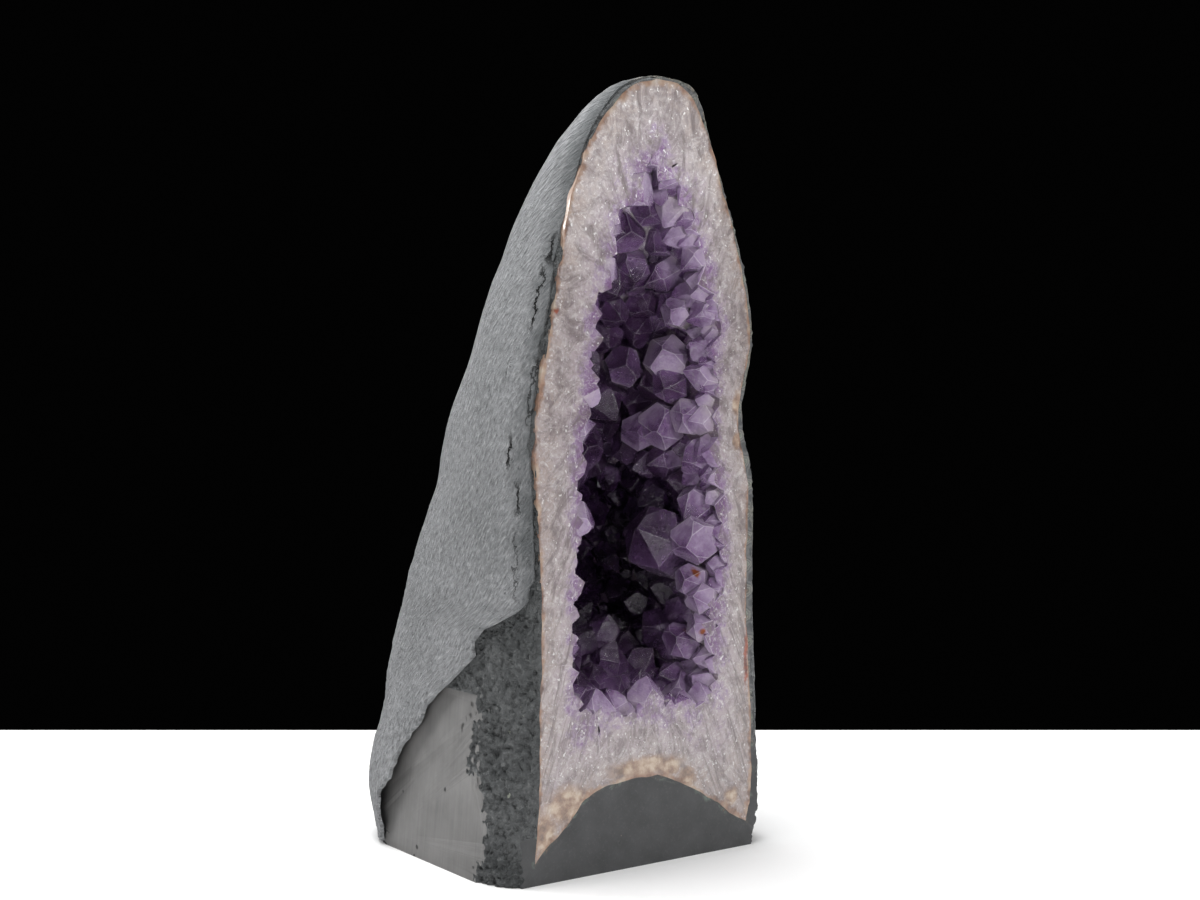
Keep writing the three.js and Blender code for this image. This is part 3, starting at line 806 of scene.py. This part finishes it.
class GEODE_OT_basalt(bpy.types.Operator):
    """Break and saw the basalt, and hollow it for the quartz"""

    bl_idname = "geode.basalt"
    bl_label = "Basalt"

    rows = 250
    facet_top_reach = 110

    def ways_round(self):
        """The ways round at which the wall has a column, close together where the rock shows."""
        stretches = [(0, 0.12, 22), (0.12, 0.66, 34), (0.66, 0.93, 90), (0.93, 1, 44)]
        result = []
        for start, end, count in stretches:
            result += [mix(start, end, i / count) for i in range(count)]
        return result + [1]

    def body(self):
        """The nodule, broken rough, with a flat front and base yet to be sawn."""
        ways = self.ways_round()
        face = 4
        columns = len(ways) + face - 1
        bm = bmesh.new()
        bmesh.ops.create_uvsphere(bm, u_segments=columns, v_segments=self.rows, radius=1)
        in_front = -4
        depth = props().roughness / MM
        grid = []
        for row in range(self.rows + 1):
            way_up = min(max((row - 1) / (self.rows - 2), 0), 1)
            share = share_at(NODULE[-1][0] * (0.35 * way_up + 0.65 * way_up**2)) if way_up < 1 else 1
            grid.append([wall_point(share, way) for way in ways])
        for vert in bm.verts:
            row = round((1 - math.acos(min(1, max(-1, vert.co.z))) / math.pi) * self.rows)
            column = round(math.atan2(vert.co.y, vert.co.x) / math.tau * columns) % columns
            line = grid[row]
            if row in (0, self.rows):
                vert.co = Vector(((line[0].x + line[-1].x) / 2, in_front, line[0].z))
            elif column < len(ways):
                place = line[column]
                rough = sum(share * wave(*place, size) for share, size in BREAKS)
                outward = Vector((place.x, place.y * 0.7, 0)).normalized()
                place = place + outward * depth * min(0.12, 0.55 * rough - 0.12)
                vert.co = place if column not in (0, len(ways) - 1) else place + Vector((0, in_front, 0))
            else:
                share = (column - len(ways) + 1) / face
                vert.co = line[-1].lerp(line[0], share) + Vector((0, in_front, 0))
            if row <= 1:
                vert.co.z = -3
            vert.co = at(*vert.co)
        saw(bm, at(0, 0, 0), (0, -1, 0))
        saw(bm, at(0, 0, 0), (0, 0, -1))
        bmesh.ops.recalc_face_normals(bm, faces=bm.faces)
        return mesh_of(bm, "basalt")

    def off_cut(self):
        """The slab sawn off low on the left, and the way that the flat it leaves looks."""
        bm = bmesh.new()
        bmesh.ops.create_cube(bm, size=1)
        bmesh.ops.translate(bm, verts=bm.verts, vec=(-0.5, 0.5, 0.5))
        bmesh.ops.scale(bm, verts=bm.verts, vec=(60 * MM, 200 * MM, (FACET["top"] + 20) * MM))
        bmesh.ops.translate(bm, verts=bm.verts, vec=(0, -10 * MM, -20 * MM))
        turned = Matrix.Rotation(math.radians(FACET["turn"]), 4, "Z")
        turned @= Matrix.Rotation(math.radians(FACET["lean"]), 4, "Y")
        bmesh.ops.transform(bm, verts=bm.verts, matrix=Matrix.Translation(at(FACET["x"], 0, 0)) @ turned)
        return mesh_of(bm, "off_cut"), turned.to_3x3() @ Vector((-1, 0, 0))

    def pocket(self):
        """The space that the quartz lining fills, a hair larger than it."""
        outline = ring(QUARTZ_EDGE, (90, 50, 90))
        rows = 20
        bm = bmesh.new()
        bmesh.ops.create_uvsphere(bm, u_segments=len(outline), v_segments=rows, radius=1)
        for vert in bm.verts:
            row, column = on_sphere(vert, len(outline), rows)
            turn = max(0, row - 2) / (rows - 2)
            x, z = outline[column]
            place = behind_face((x, z), turn, ROCK_BEHIND_QUARTZ + 0.4)
            if row == 1:
                place.y = -6
            if row == 0:
                place = HOLLOW_HEART + Vector((0, -6, 0))
            vert.co = at(*place)
        bmesh.ops.recalc_face_normals(bm, faces=bm.faces)
        return mesh_of(bm, "pocket")

    def execute(self, context):
        slab, facet_normal = self.off_cut()
        mesh = take_away(take_away(self.body(), slab), self.pocket())
        bm = bmesh.new()
        bm.from_mesh(mesh)
        bmesh.ops.recalc_face_normals(bm, faces=bm.faces)
        if bm.calc_volume(signed=True) < 0:
            bmesh.ops.reverse_faces(bm, faces=bm.faces)
        bm.normal_update()
        layer = bm.verts.layers.float.new("to_quartz")
        edge = [Vector(p) for p in ring(QUARTZ_EDGE, (90, 60, 90))]
        front = at(0, 0, 0).y
        for _ in range(6):
            sawn = [f for f in bm.faces if f.normal.y < -0.99 and abs(f.calc_center_median().y - front) < 0.2 * MM]
            sawn = bmesh.ops.triangulate(bm, faces=sawn)["faces"]
            long = {e for f in sawn for e in f.edges if e.calc_length() > 7 * MM}
            bmesh.ops.subdivide_edges(bm, edges=list(long), cuts=1)
        for face in bm.faces:
            face.smooth = True
            centre = face.calc_center_median()
            face.material_index = 0
            if face.normal.y < -0.99 and abs(centre.y - front) < 0.2 * MM:
                rough = centre.x < at(-57, 0, 0).x and centre.z > 24 * MM
                face.material_index = 0 if rough else 1
                face.smooth = False
            elif face.normal.z < -0.99 and centre.z < 0.2 * MM:
                face.material_index = 1
                face.smooth = False
            elif face.normal.dot(facet_normal) > 0.9995 and centre.z < self.facet_top_reach * MM and centre.x < -0.06:
                face.material_index = 2
                face.smooth = False
        for vert in bm.verts:
            x, z = (vert.co.x - MIDDLE_X) / MM, vert.co.z / MM
            vert[layer] = min((Vector((x, z)) - p).length for p in edge[::3]) if abs(vert.co.y - front) < MM else 20
        mesh = mesh_of(bm, "basalt_rock")
        mesh.set_sharp_from_angle(angle=math.radians(50))
        materials = [broken_material(), sawn_material(), facet_material()]
        finish_piece("basalt_rock", mesh, materials, "basalt_matrix")
        return {"FINISHED"}


class GEODE_OT_quartz(bpy.types.Operator):
    """Line the hollow with milky quartz, cut flat and polished in front"""

    bl_idname = "geode.quartz"
    bl_label = "Quartz lining"

    outer_rows = 10
    face_rows = 26
    inner_rows = 34

    def execute(self, context):
        outer = ring(QUARTZ_EDGE, COUNTS)
        inner = ring(HOLLOW_RIM, COUNTS)
        columns = len(outer)
        rows = self.outer_rows + self.face_rows + self.inner_rows
        bm = bmesh.new()
        growth = bm.verts.layers.float.new("growth")
        column_map = bm.loops.layers.uv.new("column")
        bmesh.ops.create_uvsphere(bm, u_segments=columns, v_segments=rows, radius=1)
        ways = {}
        for vert in bm.verts:
            row, column = on_sphere(vert, columns, rows)
            if row <= self.outer_rows:
                turn = 1 - row / self.outer_rows
                place = behind_face(outer[column], turn, ROCK_BEHIND_QUARTZ)
                value = 0
            elif row <= self.outer_rows + self.face_rows:
                value = (row - self.outer_rows) / self.face_rows
                x, z = outer[column].lerp(inner[column], value)
                place = Vector((x, 0, z))
            else:
                turn = (row - self.outer_rows - self.face_rows) / self.inner_rows
                place = behind_face(inner[column], turn, 0, WIDEN)
                value = 1 + turn
            vert[growth] = value
            ways[vert] = (column, value)
            vert.co = at(*place)
        for face in bm.faces:
            first = ways[face.loops[0].vert][0]
            face.smooth = True
            for loop in face.loops:
                column, value = ways[loop.vert]
                near = first + (column - first + columns // 2) % columns - columns // 2
                loop[column_map].uv = (near * COLUMN_STEP, value * BAND_WIDTH * MM)
        bmesh.ops.remove_doubles(bm, verts=bm.verts, dist=0.01 * MM)
        bmesh.ops.recalc_face_normals(bm, faces=bm.faces)
        mesh = mesh_of(bm, "quartz_lining")
        mesh.set_sharp_from_angle(angle=math.radians(40))
        material = shared("milky_quartz", quartz_material)
        finish_piece("quartz_lining", mesh, [material], "amethyst_druse")
        return {"FINISHED"}


class GEODE_OT_points(bpy.types.Operator):
    """Grow the amethyst points on the wall of the hollow and saw off those that cross the face"""

    bl_idname = "geode.points"
    bl_label = "Amethyst points"

    def point(self, target, foot, axis, radius, length, root, proud=0.1, pale=None, spin=None):
        """Adds one point to the bmesh: a six-sided prism with six uneven tip faces, all in millimetres."""
        pick = self.random
        bm = bmesh.new()
        behind = bm.verts.layers.float.new("behind_tip")
        tone = bm.verts.layers.float.new("tone")
        depth_in_shade = bm.verts.layers.float.new("depth_in_shade")
        bmesh.ops.create_cone(
            bm, cap_ends=True, segments=6, radius1=radius, radius2=radius * 0.95, depth=root + length + radius)
        bmesh.ops.translate(bm, verts=bm.verts, vec=(0, 0, (length + radius - root) / 2))
        bmesh.ops.scale(bm, verts=bm.verts, vec=(pick.uniform(0.85, 1.15), 1, 1))
        for side in range(6):
            turn = math.radians(60 * side)
            normal = (math.cos(turn) * math.sin(TIP_LEAN), math.sin(turn) * math.sin(TIP_LEAN), math.cos(TIP_LEAN))
            back = pick.uniform(0, 0.12) if side % 2 else pick.uniform(0.08, 0.55)
            saw(bm, (0, 0, length + back * radius), normal)
        top = max(vert.co.z for vert in bm.verts)
        if pale is None:
            pale = 0.75 * smooth_step(45, 4, foot[1]) + pick.uniform(-0.15, 0.35)
        for vert in bm.verts:
            vert[behind] = (top - vert.co.z) * 9 / radius
            vert[tone] = pale
            vert[depth_in_shade] = self.depth_in_shade(foot)
        turned = Vector(axis).normalized().to_track_quat("Z", "Y").to_matrix().to_4x4()
        spun = Matrix.Rotation(pick.uniform(0, math.tau) if spin is None else spin, 4, "Z")
        bmesh.ops.transform(bm, verts=bm.verts, matrix=Matrix.Translation(foot) @ turned @ spun)
        if min(vert.co.y for vert in bm.verts) < -proud:
            saw(bm, (0, -proud, 0), (0, -1, 0))
        if len(bm.verts) < 6:
            bm.free()
            return
        # The bevelled edge faces are marked for the painted highlight.
        edge_highlight = bm.faces.layers.float.new("edge_highlight")
        bevel = bmesh.ops.bevel(bm, geom=bm.edges[:], offset=0.022 * radius, segments=1, profile=0.5, affect="EDGES",
                                clamp_overlap=True, material=-1)
        for face in bevel["faces"]:
            face[edge_highlight] = 1
        for vert in bm.verts:
            vert.co = at(*vert.co)
        mesh = mesh_of(bm, "point")
        target.from_mesh(mesh)
        bpy.data.meshes.remove(mesh)

    def depth_in_shade(self, foot):
        """How far into the shaded part of the hollow a point grows, from 0 to 1; it sets the points' painted shade.
        """
        middle = smooth_step(205, 185, foot[2]) * smooth_step(96, 112, foot[2])
        return middle * smooth_step(22, 55, foot[1]) + 0.35 * smooth_step(30, 70, foot[1]) * (1 - middle)

    def polish(self, target):
        """Marks the sawn ends of the points, which are polished with the quartz round them."""
        outer, inner = ring(QUARTZ_EDGE, COUNTS), ring(HOLLOW_RIM, COUNTS)
        shares = [i / 16 for i in range(30)]
        tree = kdtree.KDTree(len(inner) * len(shares))
        for index, (start, end) in enumerate(zip(outer, inner)):
            for step, share in enumerate(shares):
                tree.insert((*start.lerp(end, share), 0), index * len(shares) + step)
        tree.balance()
        growth = target.verts.layers.float.new("growth")
        column_map = target.loops.layers.uv.new("column")
        front = at(0, 0, 0).y

        def band_place(co):
            spot = Vector(((co.x - MIDDLE_X) / MM, co.z / MM))
            index = tree.find((*spot, 0))[1] // len(shares)
            across = inner[index] - outer[index]
            return index, (spot - outer[index]).dot(across) / across.length_squared

        for face in target.faces:
            if face.normal.y > -0.9 or any(abs(vert.co.y - front) > 0.5 * MM for vert in face.verts):
                continue
            face.material_index = 1
            places = [band_place(vert.co) for vert in face.verts]
            for loop, (index, value) in zip(face.loops, places):
                near = places[0][0] + (index - places[0][0] + len(inner) // 2) % len(inner) - len(inner) // 2
                loop.vert[growth] = value
                loop[column_map].uv = (near * COLUMN_STEP, value * BAND_WIDTH * MM)

    def wall(self, outline, way, turn):
        """A place on the hollow's wall and the direction away from the wall there."""
        def place(w, t):
            index = w % len(outline)
            a, b = outline[int(index)], outline[(int(index) + 1) % len(outline)]
            return behind_face(a.lerp(b, index % 1), min(max(t, 0), 1), 0, WIDEN)
        here = place(way, turn)
        along = place(way + 1, turn) - place(way - 1, turn)
        deeper = place(way, turn + 0.02) - place(way, max(turn - 0.02, 0))
        normal = along.cross(deeper).normalized()
        towards = HOLLOW_HEART + Vector((0, 20, 0)) - here
        return here, normal if normal.dot(towards) > 0 else -normal

    def leaning(self, normal, amount):
        """A direction a little off the given one."""
        off = Vector([self.random.gauss(0, 0.6) for _ in range(3)])
        return (normal + off * amount).normalized()

    def execute(self, context):
        settings = props()
        self.random = random.Random(settings.seed)
        pick = self.random
        outline = ring(HOLLOW_RIM, COUNTS)
        spacing = settings.spacing / MM
        target = bmesh.new()
        target.verts.layers.float.new("behind_tip")
        target.verts.layers.float.new("tone")
        target.verts.layers.float.new("depth_in_shade")
        target.faces.layers.float.new("edge_highlight")
        taken = []
        for index, (foot, axis, radius, length, pale) in enumerate(CHOSEN_POINTS):
            spin = FIRST_SPINS[index] if index < len(FIRST_SPINS) else None
            self.point(target, Vector(foot), axis, radius, length, 12, 0.1, pale, spin)
            taken.append((Vector(foot), 1.5 * radius))
        for size, tries in ((1.0, 2600), (0.66, 3800), (0.4, 5000)):
            for _ in range(tries):
                way, turn = pick.uniform(0, len(outline)), pick.uniform(0.06, 1) ** 1.15
                here, normal = self.wall(outline, way, turn)
                gap = spacing * size
                if any((here - other).length < gap * 0.5 + r * 0.62 for other, r in taken):
                    continue
                radius = gap * pick.uniform(0.58, 0.85)
                length = radius * pick.uniform(0.9, 1.9)
                self.point(target, here, self.leaning(normal, 0.32), radius, length, 6)
                taken.append((here, radius))
        chosen = taken[:len(CHOSEN_POINTS)]
        for sawn in (True, False):
            way = 0.0
            while way < len(outline):
                here, normal = self.wall(outline, way, 0.03)
                right = smooth_step(0, 30, here.x)
                radius = pick.uniform(4.5, 10) if sawn else pick.uniform(5, 9)
                stray = 3 * wave(here.x, here.z, 3, 22)
                if sawn:
                    inward = Vector((normal.x, 0.1, normal.z)).normalized()
                    length = radius * pick.uniform(0.8, 1.35) + 1.5 + stray
                    behind = pick.uniform(-0.3, 0.5) * radius
                else:
                    inward = Vector((normal.x, -0.12, normal.z)).normalized()
                    length = radius * pick.uniform(0.9, 1.4) + 4 * right + stray
                    behind = radius * pick.uniform(0.85, 1.1) + 1.5
                foot = Vector((here.x, behind, here.z)) - inward * 3
                if all((foot - other).length > 0.6 * r for other, r in chosen):
                    self.point(target, foot, self.leaning(inward, 0.18), radius, max(length, 2), 3,
                               pick.uniform(0.03, 0.12), pick.uniform(0.5, 0.95))
                way += radius * 2 * pick.uniform(0.7, 0.95) / RIM_LENGTH * len(outline)
        self.polish(target)
        for face in target.faces:
            face.smooth = False
        mesh = mesh_of(target, "amethyst_points")
        materials = [amethyst_material(), shared("milky_quartz", quartz_material)]
        finish_piece("amethyst_points", mesh, materials, "amethyst_druse")
        return {"FINISHED"}


# ---- The stage ----

VIEW_TARGET = Vector((-0.0185, -0.0662, 0.2121))
VIEW_DISTANCE = 1.207
VIEW_AZIMUTH = math.radians(36.88)
VIEW_ELEVATION = math.radians(5)
TABLE_SIZE = (6, 4)
TABLE_FAR_EDGE = 1.538  # in front of the camera


class GEODE_OT_stage(bpy.types.Operator):
    """Lay the table, hang the lamps and set up the camera"""

    bl_idname = "geode.stage"
    bl_label = "Table, lamps and camera"

    def lamp(self, name, place, aim, size, power):
        """A soft rectangular lamp aimed at a point."""
        data = bpy.data.lights.new(name, "AREA")
        data.shape = "RECTANGLE"
        data.size, data.size_y = size
        data.energy = power
        lamp = bpy.data.objects.new(name, data)
        lamp.location = place
        lamp.rotation_euler = (Vector(aim) - Vector(place)).to_track_quat("-Z", "Y").to_euler()
        lamp.visible_camera = False
        bpy.context.scene.collection.objects.link(lamp)

    def execute(self, context):
        scene = context.scene
        ahead = Vector((math.sin(VIEW_AZIMUTH), math.cos(VIEW_AZIMUTH), 0))
        right = Vector((ahead.y, -ahead.x, 0))
        bm = bmesh.new()
        bmesh.ops.create_grid(bm, x_segments=1, y_segments=1, size=0.5)
        bmesh.ops.scale(bm, verts=bm.verts, vec=(*TABLE_SIZE, 1))
        camera_foot = VIEW_TARGET - ahead * VIEW_DISTANCE * math.cos(VIEW_ELEVATION)
        middle = camera_foot + ahead * (TABLE_FAR_EDGE - TABLE_SIZE[1] / 2)
        turned = Matrix.Rotation(-VIEW_AZIMUTH, 4, "Z")
        bmesh.ops.transform(bm, verts=bm.verts, matrix=Matrix.Translation((middle.x, middle.y, 0)) @ turned)
        mesh = mesh_of(bm, "table_top")
        table = bpy.data.objects.new("table_top", mesh)
        scene.collection.objects.link(table)
        s = Shader("white_table")
        mesh.materials.append(s.surface({"Base Color": grey(0.93), "Roughness": 0.6, "Specular IOR Level": 0.3}))

        world = bpy.data.worlds.new("dark_room")
        world.use_nodes = True
        world.node_tree.nodes["Background"].inputs["Color"].default_value = (0.0008, 0.0008, 0.0008, 1)
        world.node_tree.nodes["Background"].inputs["Strength"].default_value = 1
        scene.world = world

        target = VIEW_TARGET
        up = Vector((0, 0, 1))
        self.lamp("overhead", target + up * 1.2 + ahead * 0.1 - right * 0.2, target, (1.2, 0.9), 32)
        self.lamp("left_window", target - right * 1.3 + ahead * 0.45 + up * 0.6, target, (0.35, 0.5), 9)
        self.lamp("front_fill", target - ahead * 1.5 + right * 0.9 + up * 0.7, target, (0.34, 0.45), 13)
        self.lamp("low_front", target - ahead * 1.4 - right * 0.5 + up * 0.1, target, (0.35, 0.35), 2.5)
        self.lamp("right_rim", target + right * 1.1 + ahead * 0.5 + up * 0.3, target, (0.4, 1.0), 5)

        data = bpy.data.cameras.new("camera")
        data.lens = 72
        data.sensor_width = 36
        data.dof.use_dof = False
        camera = bpy.data.objects.new("camera", data)
        back = -ahead * math.cos(VIEW_ELEVATION) + up * math.sin(VIEW_ELEVATION)
        camera.location = target + back * VIEW_DISTANCE
        camera.rotation_euler = (-back).to_track_quat("-Z", "Y").to_euler()
        scene.collection.objects.link(camera)
        scene.camera = camera
        scene.view_settings.view_transform = "Standard"
        return {"FINISHED"}


# ---- The panel ----

OPERATORS = (GEODE_OT_stage, GEODE_OT_cement, GEODE_OT_basalt, GEODE_OT_quartz, GEODE_OT_points)


class GEODE_PT_panel(bpy.types.Panel):
    """Lists the geode's pieces"""

    bl_label = "Amethyst geode"
    bl_idname = "GEODE_PT_panel"
    bl_space_type = "VIEW_3D"
    bl_region_type = "UI"
    bl_category = "Geode"

    def draw(self, context):
        for name in GeodeProps.__annotations__:
            self.layout.prop(context.scene.geode, name)
        for operator in OPERATORS:
            self.layout.operator(operator.bl_idname)


CLASSES = (GeodeProps, *OPERATORS, GEODE_PT_panel)


def register():
    for item in CLASSES:
        bpy.utils.register_class(item)
    bpy.types.Scene.geode = PointerProperty(type=GeodeProps)


def unregister():
    del bpy.types.Scene.geode
    for item in reversed(CLASSES):
        bpy.utils.unregister_class(item)


def main():
    register()
    bpy.ops.geode.stage()
    bpy.ops.geode.cement()
    bpy.ops.geode.basalt()
    bpy.ops.geode.quartz()
    bpy.ops.geode.points()


if __name__ == "__main__":
    main()
